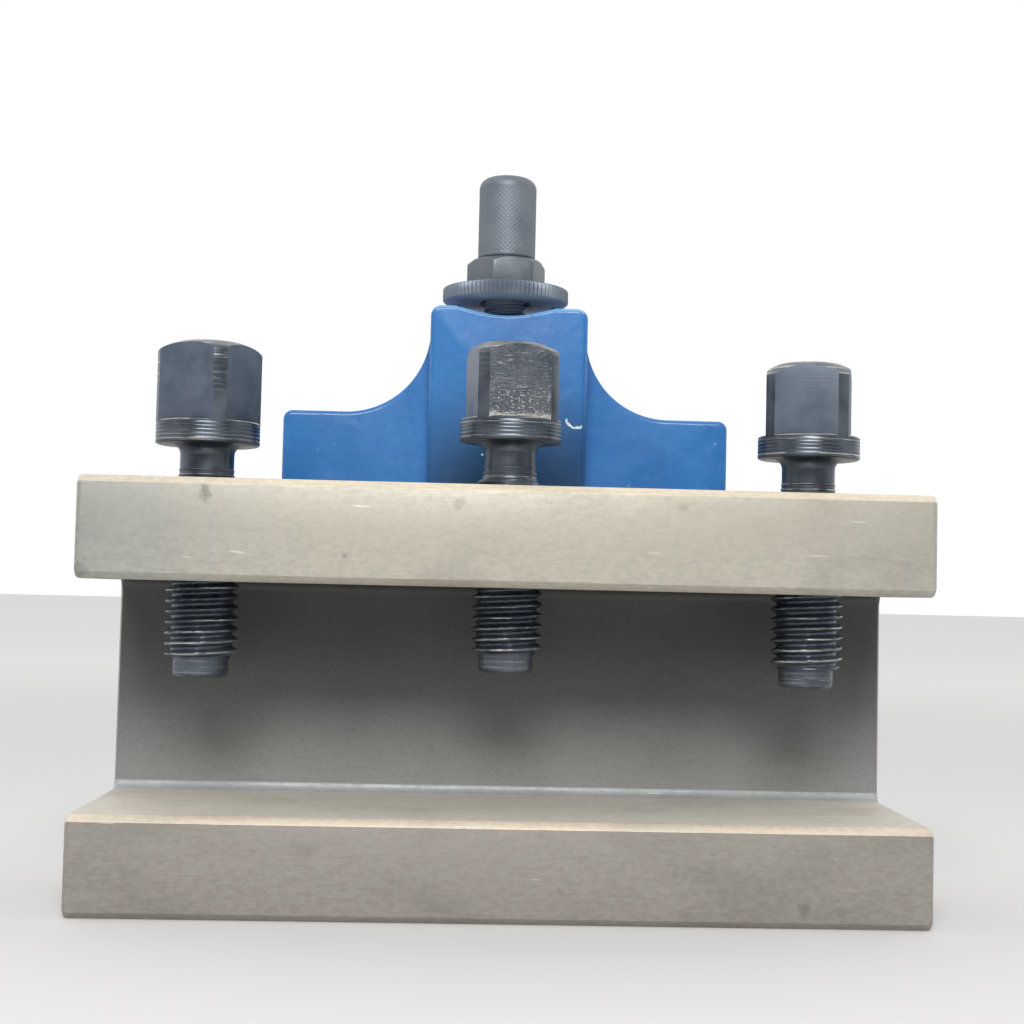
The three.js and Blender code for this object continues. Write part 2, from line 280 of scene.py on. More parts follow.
# ---- materials -----------------------------------------------------------------------------------
class Paint:
    """Small helper that builds a Principled material from procedural nodes."""

    def __init__(self, name, **values):
        self.m = bpy.data.materials.new(name)
        self.m.use_nodes = True
        self.t = self.m.node_tree
        self.bsdf = self.t.nodes["Principled BSDF"]
        for key, value in values.items():
            self.bsdf.inputs[key.replace("_", " ")].default_value = value
        self.coord = self.t.nodes.new("ShaderNodeTexCoord").outputs["Object"]

    def link(self, out, socket):
        self.t.links.new(out, socket)

    def put(self, out, key):
        self.link(out, self.bsdf.inputs[key])

    def grain(self, scale, detail=4.0, stretch=(1, 1, 1), rough=0.55, offset=0.0):
        """Noise with `scale` features per millimetre, stretched along axes by stretch."""
        m = self.t.nodes.new("ShaderNodeMapping")
        m.inputs["Scale"].default_value = [1000 * scale * s for s in stretch]
        m.inputs["Location"].default_value = (offset, offset * 0.7, offset * 1.3)
        self.link(self.coord, m.inputs["Vector"])
        n = self.t.nodes.new("ShaderNodeTexNoise")
        n.inputs["Scale"].default_value = 1.0
        n.inputs["Detail"].default_value = detail
        n.inputs["Roughness"].default_value = rough
        self.link(m.outputs[0], n.inputs["Vector"])
        return n.outputs["Fac"]

    def axis(self, name):
        """One object coordinate in millimetres."""
        s = self.t.nodes.new("ShaderNodeSeparateXYZ")
        self.link(self.coord, s.inputs[0])
        return self.math("MULTIPLY", s.outputs[name], 1000.0)

    def math(self, op, a, b=0.0):
        n = self.t.nodes.new("ShaderNodeMath")
        n.operation = op
        for i, v in enumerate((a, b)):
            if isinstance(v, (int, float)):
                n.inputs[i].default_value = v
            else:
                self.link(v, n.inputs[i])
        return n.outputs[0]

    def span(self, value, low, high, to_low=0.0, to_high=1.0):
        """Eases from to_low at low to to_high at high."""
        n = self.t.nodes.new("ShaderNodeMapRange")
        n.interpolation_type = "SMOOTHSTEP"
        for i, v in enumerate((low, high, to_low, to_high)):
            n.inputs[i + 1].default_value = v
        self.link(value, n.inputs[0])
        return n.outputs[0]

    def mix(self, fac, a, b):
        n = self.t.nodes.new("ShaderNodeMix")
        n.data_type = "RGBA"
        self.link(fac, n.inputs[0])
        for socket, v in ((n.inputs[6], a), (n.inputs[7], b)):
            if isinstance(v, tuple):
                socket.default_value = (*v, 1.0)
            else:
                self.link(v, socket)
        return n.outputs[2]

    def bump(self, height, depth_mm):
        """Adds a bump on top of the ones already there."""
        n = self.t.nodes.new("ShaderNodeBump")
        n.inputs["Strength"].default_value = 1.0
        n.inputs["Distance"].default_value = depth_mm * MM
        self.link(height, n.inputs["Height"])
        previous = self.bsdf.inputs["Normal"].links
        if previous:
            self.link(previous[0].from_socket, n.inputs["Normal"])
        self.link(n.outputs[0], self.bsdf.inputs["Normal"])

    def attribute(self, name):
        n = self.t.nodes.new("ShaderNodeAttribute")
        n.attribute_name = name
        return n.outputs["Fac"]

    def near(self, x, z, flat=1.0):
        """Distance in millimetres from a point of the front view; flat stretches it along X."""
        dx = self.math("MULTIPLY", self.math("SUBTRACT", self.axis("X"), x), flat)
        dz = self.math("SUBTRACT", self.axis("Z"), z)
        squares = self.math("ADD", self.math("MULTIPLY", dx, dx), self.math("MULTIPLY", dz, dz))
        return self.math("SQRT", squares)

    def darker(self, fac, colour):
        return self.mix(fac, colour, (0.0, 0.0, 0.0))


def ground_material(name, tones, rough, metallic):
    """Ground steel. tones are the colours at mid-length, at the ends and on the lower jaw."""
    p = Paint(name, Metallic=metallic)
    middle, ends, low = tones
    along = p.math("ADD", p.axis("X"), p.math("MULTIPLY", p.grain(0.02, 2.0), 30.0))
    across = p.span(p.math("ABSOLUTE", p.math("SUBTRACT", along, 24.0)), 38.0, 84.0)
    colour = p.mix(p.span(p.axis("Z"), 14.0, 54.0), low, p.mix(across, middle, ends))
    lines = p.grain(7.0, 3.0, (0.02, 1.0, 1.0))
    mottle = p.grain(1.3, 4.0, (0.6, 1.0, 1.0), offset=3.0)
    pores = p.grain(4.5, 2.0, offset=4.0)
    stains = p.grain(0.07, 3.0, (0.7, 1.0, 1.3), offset=7.0)
    colour = p.darker(p.span(lines, 0.35, 0.65, 0.0, 0.1), colour)
    colour = p.darker(p.span(mottle, 0.35, 0.7, 0.0, 0.13), colour)
    colour = p.darker(p.span(stains, 0.45, 0.75, 0.0, 0.16), colour)
    colour = p.darker(p.span(pores, 0.6, 0.78, 0.0, 0.3), colour)
    ragged = p.math("MULTIPLY", p.grain(0.9, 4.0, offset=1.0), 3.2)
    for x, z, size, depth in SMUDGES:
        spot = p.span(p.math("ADD", p.near(x, z), ragged), 1.2 + size, 2.4 + size, depth, 0.0)
        colour = p.darker(spot, colour)
    scratch = p.grain(0.9, 1.0, (0.12, 1.0, 1.6), rough=0.3, offset=12.0)
    colour = p.mix(p.span(scratch, 0.775, 0.79, 0.0, 0.5), colour, (0.85, 0.82, 0.74))
    p.put(colour, "Base Color")
    uneven = p.math("ADD", lines, p.math("MULTIPLY", mottle, 0.6))
    p.put(p.span(uneven, 0.5, 1.1, rough - 0.06, rough + 0.1), "Roughness")
    p.bump(lines, 0.012)
    p.bump(pores, 0.008)
    return p


def milled_material(name, light, dark, rough, lines, shade=None, metallic=0.6):
    """Milled steel with cutter lines of the given depth; shade = (z0, z1, level) paints shade on it, dulling
    it to level at z0 and fading out by z1.
    """
    p = Paint(name, Metallic=metallic)
    fine = p.grain(9.0, 3.0, (0.012, 1.0, 1.0))
    broad = p.grain(0.05, 3.0)
    speck = p.grain(2.2, 3.0, offset=4.0)
    tone = p.math("ADD", p.math("MULTIPLY", fine, 0.55), p.math("MULTIPLY", broad, 0.45))
    colour = p.mix(p.span(tone, 0.3, 0.72), dark, light)
    colour = p.darker(p.span(speck, 0.5, 0.75, 0.0, 0.16), colour)
    # painted shade: darker towards z0
    if shade:
        colour = p.darker(p.span(p.axis("Z"), shade[0], shade[1], 1.0 - shade[2], 0.0), colour)
    p.put(colour, "Base Color")
    uneven = p.math("ADD", fine, p.math("MULTIPLY", speck, 0.5))
    p.put(p.span(uneven, 0.4, 1.1, rough - 0.06, rough + 0.1), "Roughness")
    p.bump(fine, lines)
    p.bump(speck, 0.01)
    return p


# small stains on the bar's front: x, z, size and depth
SMUDGES = (
    (-47.5, 65.8, 0.6, 0.42), (-25.8, 56.6, 0.0, 0.3), (-8.0, 65.2, 0.6, 0.2), (27.0, 65.5, 0.5, 0.2),
    (-66.5, 53.6, 1.2, 0.25), (9.0, 5.2, 0.2, 0.3), (-31.0, 11.0, 1.4, 0.1), (47.0, 3.4, 0.6, 0.25),
)
WARM, COOL, LOW = (0.53, 0.505, 0.43), (0.425, 0.43, 0.4), (0.4, 0.372, 0.335)
ground = ground_material("ground_steel", (WARM, COOL, LOW), 0.42, 0.55)
# a lighter, warmer copy of the ground steel for the upward-facing front chamfers: a painted highlight
LIT_CHAMFER_TONES = ((0.84, 0.74, 0.58), (0.74, 0.68, 0.56), (0.86, 0.75, 0.61))
edges = ground_material("ground_lit_chamfer", LIT_CHAMFER_TONES, 0.36, 0.5)
# a much lighter, less metallic copy for the slot floor: painted light
lit_ledge = ground_material("slot_floor_lit", ((0.7, 0.66, 0.58),) * 3, 0.55, 0.1)
# a lighter, bluish copy for the fillet at the foot of the slot wall: a painted reflection
root = ground_material("slot_root_lit", ((0.44, 0.465, 0.465),) * 3, 0.5, 0.2)
# the slot wall gets painted shade, darkest 47 mm up under the upper jaw and none from 14 mm down
milled = milled_material(
    "milled_steel", (0.33, 0.335, 0.33), (0.25, 0.255, 0.25), 0.5, 0.02, (47.0, 14.0, 0.26), 0.3)
seat = milled_material("machined_seat", (0.46, 0.455, 0.43), (0.36, 0.355, 0.34), 0.42, 0.016)


def blue_material(name, dark, light):
    """Glossy brushed-on paint with dust, painted shadow round the centre screw, a scratch and a few chips.
    """
    p = Paint(name, Metallic=0.0, Coat_Weight=0.35, Coat_Roughness=0.1, IOR=1.45, Specular_IOR_Level=0.35)
    patch = p.grain(0.05, 3.0, offset=2.0)
    peel = p.grain(0.9, 2.0)
    dust = p.grain(0.35, 4.0, offset=5.0)
    colour = p.mix(p.span(patch, 0.3, 0.7), dark, light)
    colour = p.mix(p.span(dust, 0.55, 0.8, 0.0, 0.12), colour, (0.25, 0.42, 0.7))
    # painted shadow: the paint is darkened low on the front, round the centre screw
    painted_shadow = p.span(p.near(2.0, 66.0, 0.8), 9.0, 29.0, 0.66, 0.0)
    colour = p.darker(p.math("MULTIPLY", painted_shadow, p.span(p.axis("Y"), 8.0, 11.0, 1.0, 0.0)), colour)
    # one hooked scratch and a few chips
    ragged = p.math("MULTIPLY", p.grain(1.6, 3.0, offset=8.0), 0.9)
    hook = p.math("ABSOLUTE", p.math("SUBTRACT", p.math("ADD", p.near(12.6, 83.8), ragged), 2.35))
    hook_end = p.span(p.near(11.9, 82.0), 1.6, 2.0, 1.0, 0.0)
    hooked = p.math("MULTIPLY", p.span(hook, 0.12, 0.3, 1.0, 0.0), hook_end)
    on_front = p.span(p.axis("Y"), 6.4, 6.8, 1.0, 0.0)
    chips = p.span(p.grain(0.55, 2.0, offset=14.0), 0.752, 0.77)
    bare = p.math("MAXIMUM", p.math("MULTIPLY", hooked, on_front), p.math("MULTIPLY", chips, 0.8))
    colour = p.mix(bare, colour, (0.62, 0.74, 0.78))
    p.put(colour, "Base Color")
    p.put(p.span(peel, 0.3, 0.7, 0.36, 0.46), "Roughness")
    p.bump(peel, 0.03)
    p.bump(p.grain(0.12, 2.0, offset=9.0), 0.25)
    return p


RIDGE_STEP = 0.95    # millimetres between the turning ridges on the screw heads


def black_material(name, dark, light, line_mm, wear_and_highlight, rough, metallic=0.7, forged=None):
    """Blackened steel with turning lines. Its wear, partly real wear and partly painted highlight, shows as
    streaks from 0.1 and as bare metal from 0.5;
    forged = (amount, height) adds bright scale marks, densest below that height."""
    p = Paint(name, Metallic=metallic)
    lines = p.grain(line_mm, 3.0, (0.05, 0.05, 1.0), rough=0.7)
    blotch = p.grain(0.25, 4.0, offset=6.0)
    base = p.mix(p.span(blotch, 0.3, 0.7), dark, light)
    amount = p.attribute("wear_and_highlight")
    patchy = p.span(p.grain(0.5, 3.0, (0.6, 0.6, 1.8), offset=3.0), 0.4, 0.6, 0.12, 1.0)
    rubbed = p.math("MULTIPLY", p.span(amount, 0.5, 1.0, 0.0, wear_and_highlight), patchy)
    # turning ridges, one every RIDGE_STEP, broken up by the same noise
    wave = p.math("SINE", p.math("MULTIPLY", p.axis("Z"), 2 * math.pi / RIDGE_STEP))
    ridge = p.math("MULTIPLY", p.span(wave, 0.72, 0.95), patchy)
    streak = p.math("MAXIMUM", p.span(lines, 0.53, 0.64, 0.0, 0.8), ridge)
    worn = p.math("MAXIMUM", rubbed, p.math("MULTIPLY", streak, p.span(amount, 0.1, 0.4, 0.0, 0.8)))
    if forged:
        amount_forged, height = forged
        chisel = p.grain(2.4, 4.0, (0.16, 0.16, 1.0), rough=0.65, offset=2.0)
        flakes = p.grain(3.2, 3.0, (0.7, 0.7, 1.0), offset=1.0)
        low = p.span(p.axis("Z"), height, height + 5.0)
        scratched = p.math("MULTIPLY", p.span(chisel, 0.56, 0.72), p.span(low, 0.0, 1.0, 0.4, 0.62))
        flaked = p.math("MULTIPLY", p.span(flakes, 0.54, 0.66), p.span(low, 0.0, 1.0, 0.9, 0.0))
        ragged = p.math("ADD", p.axis("Z"), p.math("MULTIPLY", flakes, 2.4))
        burr = p.span(ragged, height - 0.9, height - 0.4, 1.0, 0.0)
        marks = p.math("MAXIMUM", p.math("MAXIMUM", scratched, flaked), burr)
        worn = p.math("MAXIMUM", worn, p.math("MULTIPLY", marks, amount_forged))
        p.bump(chisel, 0.3)
        p.bump(flakes, 0.2)
    p.put(p.mix(worn, base, (0.68, 0.67, 0.63)), "Base Color")
    p.put(p.span(blotch, 0.3, 0.7, rough - 0.04, rough + 0.08), "Roughness")
    p.bump(lines, 0.04)
    return p


turned_black = black_material(
    "black_screw_turned", (0.065, 0.08, 0.1), (0.12, 0.14, 0.17), 1.6, 0.5, 0.3, 0.75)
flat_black = black_material(
    "black_screw_flat", (0.077, 0.1, 0.138), (0.111, 0.139, 0.177), 2.2, 0.0, 0.48, 0.4)
rough_black = black_material(
    "black_screw_rough", (0.065, 0.08, 0.1), (0.115, 0.13, 0.15), 2.6, 0.3, 0.36, 0.7, (0.62, 82.4))
# a paler copy of the flat finish for the flats that face the left: painted light
lit_side_black = black_material(
    "black_screw_lit_side", (0.14, 0.165, 0.21), (0.22, 0.245, 0.3), 2.0, 0.0, 0.5, 0.35)
spindle_grey = black_material(
    "grey_spindle", (0.146, 0.171, 0.205), (0.184, 0.209, 0.243), 1.5, 0.0, 0.54, 0.45)
# a lighter, bluish grey for the spindle's thread below the grip: painted light and a painted reflection of
# the blue paint
spindle_thread_reflection = black_material(
    "grey_spindle_thread_reflection", (0.16, 0.2, 0.26), (0.22, 0.26, 0.32), 1.5, 0.0, 0.55, 0.2)
nut_grey = black_material(
    "grey_nut", (0.12, 0.14, 0.165), (0.155, 0.178, 0.2), 1.5, 0.0, 0.4, 0.55)
nut_black = black_material(
    "black_nut", (0.14, 0.175, 0.22), (0.19, 0.225, 0.27), 1.5, 0.0, 0.42, 0.4)
# a lighter, bluish copy for the disc nut's underside: a painted reflection of the blue tower top
nut_underside_reflection = black_material(
    "black_nut_underside_reflection", (0.29, 0.37, 0.48), (0.37, 0.45, 0.56), 1.5, 0.0, 0.5, 0.15)


def dress(obj, body, slot, *materials):
    for m in materials:
        obj.data.materials.append(m.m)
    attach(obj, body)
    return obj


# ---- steel bar -------------------------------------------------------------------------------------
def bar_section(inset):
    """The C-shaped section in Y-Z, moved into the steel by inset on every side."""
    c, f = CHAMFER, SLOT_FILLET
    groove = SLOT_WALL - f - 0.3
    pts = [
        (FRONT + c, 0), (BAR_BACK - 0.6, 0), (BAR_BACK, 0.6),
        (BAR_BACK, BAR_TOP - c), (BAR_BACK - c, BAR_TOP),
        (FRONT + c, BAR_TOP), (FRONT, BAR_TOP - c), (FRONT, SLOT_ROOF + c), (FRONT + c, SLOT_ROOF),
        *arc(SLOT_WALL - f, SLOT_ROOF - f, f, 90, 0, 8), *arc(SLOT_WALL - f, LOWER_JAW + f, f, 0, -90, 8),
        (groove, LOWER_JAW), (groove - 0.2, LOWER_JAW - 0.35), (groove - 0.5, LOWER_JAW - 0.35),
        (groove - 0.7, LOWER_JAW), (FRONT + c, LOWER_JAW), (FRONT, LOWER_JAW - c), (FRONT, c),
    ]
    if inset <= 0:
        return pts
    out, n = [], len(pts)
    for i in range(n):
        a, b, d = pts[i - 1], pts[i], pts[(i + 1) % n]
        u = Vector((b[0] - a[0], b[1] - a[1])).normalized()
        v = Vector((d[0] - b[0], d[1] - b[1])).normalized()
        nu, nv = Vector((-u.y, u.x)), Vector((-v.y, v.x))
        m = (nu + nv) / (1 + nu.dot(nv))
        out.append((b[0] + m.x * inset, b[1] + m.y * inset))
    return out


def steel_bar():
    r, steps = BAR_END_ROUND, 5
    stations = []
    for i in range(steps + 1):
        a = math.pi / 2 * i / steps
        stations.append((HALF - r * (1 - math.sin(a)), r * (1 - math.cos(a))))
    stations = [(-x, d) for x, d in reversed(stations)] + stations
    rings = [[(x, y, z) for y, z in bar_section(d)] for x, d in stations]
    n = len(rings[0])
    verts = [v for ring in rings for v in ring]
    faces = [[i * n + k, i * n + (k + 1) % n, (i + 1) * n + (k + 1) % n, (i + 1) * n + k]
             for i in range(len(rings) - 1) for k in range(n)]
    faces += [list(range(n)), [(len(rings) - 1) * n + k for k in range(n)][::-1]]
    bar = outward(make("steel_bar", verts, faces))
    hole = [
        (7.0, SLOT_ROOF - 0.5), (7.0, SLOT_ROOF), (6.25, SLOT_ROOF + 0.8),
        (6.25, BAR_TOP - 1.0), (7.3, BAR_TOP), (7.3, BAR_TOP + 0.5),
    ]
    for x in (-SCREW_X, 0, SCREW_X):
        combine(bar, turned("hole", hole, x, SCREW_Y))
    # the carrier's T-slot cuts into the bar behind the slot wall, and the height screw runs through it
    combine(bar, prism("tslot", rectangle(T_HALF, T_FRONT, BAR_BACK + 1), upright, -1, BAR_TOP + 1))
    tidy(bar)
    rounded(bar, BAR_EDGE, 2, 24, lambda a, b: 1.0)
    for f in bar.data.polygons:
        c, nrm = f.center / MM, f.normal
        inside = FRONT + 1.3 < c.y < SLOT_WALL + 0.2 and LOWER_JAW - 0.1 < c.z < SLOT_ROOF + 0.1
        f.material_index = MILLED if inside and abs(c.x) < HALF - 0.2 else GROUND
        # the slot floor takes the lighter copy: painted light
        if inside and nrm.z > 0.5 and c.z < LOWER_JAW + 0.1:
            f.material_index = LIT_LEDGE
        if c.y > T_FRONT - 0.5 and abs(c.x) < T_HALF + 0.5:
            f.material_index = SEAT
        # upward-facing front chamfers take the lighter copy: a painted highlight
        upward_chamfer = c.y < FRONT + CHAMFER + 0.2 and nrm.z > 0.35 and nrm.y < -0.2
        # the fillet at the wall's foot takes the lighter bluish copy: a painted reflection
        in_root = inside and c.z < LOWER_JAW + SLOT_FILLET and nrm.z > 0.15 and c.y > SLOT_WALL - SLOT_FILLET
        if upward_chamfer:
            f.material_index = LIT_CHAMFER
        elif in_root:
            f.material_index = LIT_ROOT
    return smooth(bar)


# ---- painted carrier -------------------------------------------------------------------------------
def carrier():
    w, t, s = WING_HALF, TOWER_HALF, SHOULDER
    half = [
        *arc(w - WING_CORNER, WING_TOP - WING_CORNER, WING_CORNER, 0, 90, 8),
        *arc(t + s, WING_TOP + s, s, 270, 180, 40),
        *arc(t - TOWER_CORNER, TOWER_TOP - TOWER_CORNER, TOWER_CORNER, 0, 90, 12),
    ]
    outline = [(w, 0), *half, *[(-x, z) for x, z in reversed(half)], (-w, 0)]
    plate = prism("blue_carrier", outline, facing, PLATE_FRONT, BACK)
    tower = [
        (t, TOWER_FOOT),
        *arc(t - TOWER_CORNER, TOWER_TOP - TOWER_CORNER, TOWER_CORNER, 0, 90, 12),
        *arc(-t + TOWER_CORNER, TOWER_TOP - TOWER_CORNER, TOWER_CORNER, 90, 180, 12),
        (-t, TOWER_FOOT),
    ]
    combine(plate, prism("tower", tower, facing, TOWER_FRONT, SEAT_APEX), "UNION")
    hollow = [(SEAT_R * math.sin(math.radians(a)), SEAT_CENTRE - SEAT_R * math.cos(math.radians(a)))
              for a in np.linspace(-50, 50, 121)]
    hollow += [(SEAT_R, SEAT_CENTRE), (-SEAT_R, SEAT_CENTRE)]
    combine(plate, prism("seat", hollow, upright, -2, TOWER_TOP + 2))
    d = TOOTH_DEPTH
    groove = ((-d - 0.6, 0.6), (-0.35, -d + 0.35), (0.35, -d + 0.35), (d + 0.6, 0.6))
    for i in range(3):
        for side in (-1, 1):
            a = math.radians(side * (i + 1) * TOOTH_STEP)
            vee = []
            for u, v in groove:
                rad = SEAT_R - v
                vee.append((rad * math.sin(a) + u * math.cos(a),
                            SEAT_CENTRE - rad * math.cos(a) + u * math.sin(a)))
            combine(plate, prism("tooth", vee, upright, -2, TOWER_TOP + 2))
    combine(plate, prism("tslot", rectangle(T_HALF, T_FRONT, T_BACK), upright, -1, T_ROOF))
    combine(plate, prism("neck", rectangle(T_NECK_HALF, T_BACK - 1, BACK + 1), upright, -1, T_ROOF))
    sink_foot = TOWER_TOP - (SINK_R - SPINDLE_BORE) * SINK_SLOPE
    countersunk = [
        (SPINDLE_BORE, T_ROOF - 1), (SPINDLE_BORE, sink_foot),
        (SINK_R, TOWER_TOP), (SINK_R, TOWER_TOP + 1),
    ]
    combine(plate, turned("bore", countersunk, SPINDLE_X, SPINDLE_Y))
    tidy(plate)

    def weight(a, b):
        """How much of CARRIER_EDGE the edge from a to b gets."""
        m = (a + b) / 2
        aside = abs(m.x) - TOWER_HALF
        on_face = abs(m.y - PLATE_FRONT) < 0.1
        if m.y < PLATE_FRONT - 0.1 and m.z < BAR_TOP:   # the tower's foot, inside the bar
            return 0.0
        if on_face and abs(aside) < 0.05 and m.z < WING_TOP + SHOULDER:     # where tower and wings meet
            return 0.0
        if on_face and m.z > WING_TOP + 0.05:           # the shoulder runs out into the tower's side
            return min(1.0, max(0.0, 0.3 * (aside - 0.5)))
        if m.y > T_FRONT - 0.3 and m.y < BACK - 0.3 and abs(m.x) < WING_HALF - 1.0 and m.z < TOWER_TOP - 0.5:
            on_arc = abs(math.hypot(m.x, m.y - SEAT_CENTRE) - SEAT_R) < TOOTH_DEPTH + 0.6
            if on_arc or abs(m.x) < T_HALF + 0.5:
                return 0.22
        if m.y > BACK - 0.3:
            return 0.4
        if m.y > SEAT_APEX - 1.5 and m.z > TOWER_TOP - 0.5:
            return 0.2
        from_axis = math.hypot(m.x - SPINDLE_X, m.y - SPINDLE_Y)
        return 0.15 if from_axis < 5 else 1.0

    rounded(plate, CARRIER_EDGE, 4, 28, weight, clamp=False)
    for f in plate.data.polygons:
        c, nrm = f.center / MM, f.normal
        from_arc = abs(math.hypot(c.x, c.y - SEAT_CENTRE) - SEAT_R - TOOTH_DEPTH / 2)
        on_seat = from_arc < TOOTH_DEPTH / 2 + 0.35 and nrm.y > 0.3 and c.y > SEAT_APEX - TOOTH_DEPTH
        in_slot = abs(c.x) < T_HALF + 0.05 and c.y > T_FRONT - 0.05 and c.z < T_ROOF + 0.05
        in_bore = math.hypot(c.x - SPINDLE_X, c.y - SPINDLE_Y) < 4.6
        f.material_index = PAINT_SEAT if on_seat or in_slot or in_bore or nrm.z < -0.9 else PAINTED
        # the tower's rounded front-top edge takes the lighter paint: a painted highlight
        lit_round_edge = 0.3 < nrm.z < 0.93 and nrm.y < -0.25 and c.y < TOWER_FRONT + 1.2
        if lit_round_edge and c.z > TOWER_TOP - 4 and abs(c.x) < TOWER_HALF - 0.8:
            f.material_index = PAINT_HIGHLIGHT
    return smooth(plate, 32)


# ---- screws ----------------------------------------------------------------------------------------
def stacked(name, zones, facets, x, y, depth_at):
    """A ring surface from (height, radius, depth) rows, cut by depth times depth_at(height, angle)."""
    rows = np.array(zones)

    def radius(i, ang):
        z, r, depth = rows[i]
        return r - depth * depth_at(z, ang) if depth else np.full(facets, r)

    return ring_surface(name, list(rows[:, 0]), facets, radius, x, y)


def wear_by(obj, x, y, bands):
    """Stores how bright the wear and painted highlight are on each face corner; bands(radius, height,
    milled) gives it.
    """
    mesh = obj.data
    co = np.empty(len(mesh.vertices) * 3, dtype=np.float32)
    mesh.vertices.foreach_get("co", co)
    co = co.reshape(-1, 3) / MM
    vertex = np.empty(len(mesh.loops), dtype=np.int32)
    mesh.loops.foreach_get("vertex_index", vertex)
    count = np.empty(len(mesh.polygons), dtype=np.int32)
    mesh.polygons.foreach_get("loop_total", count)
    kind = np.empty(len(mesh.polygons), dtype=np.int32)
    mesh.polygons.foreach_get("material_index", kind)
    radius = np.hypot(co[:, 0] - x, co[:, 1] - y)[vertex]
    values = bands(radius, co[vertex, 2], np.repeat(kind, count) > TURNED)
    layer = mesh.attributes.new("wear_and_highlight", "FLOAT", "CORNER")
    layer.data.foreach_set("value", np.clip(values, 0, 1).astype(np.float32))


def clamp_screw(name, turn, crown_h, phase, strip_wear):
    """A square-head screw. phase shifts its thread; strip_wear brightens the turned strips of the head."""
    low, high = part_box(name)
    x, y = (low.x + high.x) / 2 / MM, SCREW_Y
    tip = low.z / MM
    neck = SHANK - NECK_H
    # dog point, then the thread from its first turn
    zones = [
        (0.0, 3.4, 0), (0.12, 3.95, 0), (0.4, 4.35, 0), (0.75, DOG_R, 0),
        (DOG_H - 0.1, DOG_R, 0), (DOG_H + 0.1, 4.62, 0),
    ]
    h = DOG_H + 0.2
    while h < neck - 1.1:
        rise = min(1.0, (h - DOG_H) / 0.8)
        radius = THREAD_ROOT + (THREAD_R - THREAD_ROOT) * rise
        zones.append((h, radius, THREAD_DEPTH * min(1.0, (h - DOG_H) / 0.7)))
        h += THREAD_ROW
    # the thread runs out into the neck, which has a few turned rings and a fillet under the collar
    zones += [(neck - below, r, cut) for below, r, cut in THREAD_END]
    zones += [(neck + up, r, 0) for up, r in NECK_PROFILE]
    h = SHANK + 0.35
    while h < SHANK + COLLAR_H - 0.35:
        groove = 0.07 * (0.5 + 0.5 * math.sin(h * 10.2)) ** 2 + 0.03 * math.sin(h * 4.3 + x) ** 2
        zones.append((h, COLLAR_R - groove, 0))
        h += COLLAR_ROW
    for down, r in ((0.3, 8.47), (0.16, 8.4), (0.05, 8.25), (0.0, 8.1), (0.0, 4.0)):
        zones.append((SHANK + COLLAR_H - down, r, 0))
    zones = [(h + tip, r, cut) for h, r, cut in zones]
    shank = stacked(name + "_shank", zones, 96, x, y, lambda z, a: thread_depth(z - tip - phase, a, PITCH))
    # square head: a turned, crowned bar with four milled flats
    top = (high.z - low.z) / MM
    shoulder = top - crown_h
    crown = [(COLLAR_R, SHANK + COLLAR_H - 0.3), (COLLAR_R, shoulder)]
    for i in range(1, 11):
        a = i / 10
        crown.append((COLLAR_R - 3.1 * a ** 1.15, shoulder + (crown_h - 0.2) * a ** 0.72))
    crown += [(5.1, top - 0.13), (4.2, top - 0.06), (2.2, top - 0.02), (0.3, top)]
    head = turned(name + "_head", [(r, h + tip) for r, h in crown], x, y, 144)
    corner = SQUARE / 2 * math.sqrt(2)
    angles = [math.radians(turn + 45 + 90 * i) for i in range(4)]
    plan = [(x + corner * math.cos(a), y + corner * math.sin(a)) for a in angles]
    combine(head, prism("square", plan, upright, tip + SHANK + 1, tip + top + 2), "INTERSECT")
    tidy(head)
    rounded(head, HEAD_EDGE, 2, 20)
    screw = join(name + "_visual", [head, shank])
    flats = [Vector((math.cos(a - math.pi / 4), math.sin(a - math.pi / 4), 0)) for a in angles]
    for f in screw.data.polygons:
        on_flat = max(f.normal.dot(d) for d in flats) > 0.998 and f.area > (3 * MM) ** 2
        f.material_index = FLAT if on_flat and f.center.z / MM > tip + SHANK + 3 else TURNED
        # flats that face the left take the paler copy: painted light
        if f.material_index == FLAT and f.normal.x < -0.9:
            f.material_index = LIT_SIDE

    def bands(r, z, milled):
        """Wear and painted highlight by place: bright thread crests, neck rings, collar and rim, crown; none
        on the flats. On the thread it fades up the shank towards the jaw, which is painted shade.
        """
        h = z - tip
        # painted shade: the crests get less bright up the shank, towards the upper jaw
        fade = np.clip(1.08 - (h - DOG_H) / 12.0, 0.3, 1.0)
        thread = fade * np.clip((r - 5.72) / 0.22, 0, 1) * (h > DOG_H) * (h < neck)
        dog = 0.2 * np.clip((r - 4.3) / 0.15, 0, 1) * (h < DOG_H)
        rings = 0.45 * np.clip((r - 4.47) / 0.05, 0, 1) * (h > neck - 0.3) * (h < neck + 2.0)
        collar = np.clip((r - 8.478) / 0.02, 0, 0.85) * (h > SHANK) * (h < SHANK + COLLAR_H - 0.32)
        rim = 0.9 * (h > SHANK + COLLAR_H - 0.2) * (h < SHANK + COLLAR_H + 0.01) * (r > 8.0)
        strip = strip_wear * (h > SHANK + COLLAR_H + 0.01) * (h < shoulder + 0.05)
        crowned = 0.66 * (h > shoulder + 0.05)
        return np.where(milled, 0.0, np.maximum.reduce([thread, dog, rings, collar, rim, strip, crowned]))

    wear_by(screw, x, y, bands)
    return smooth(screw, 34)


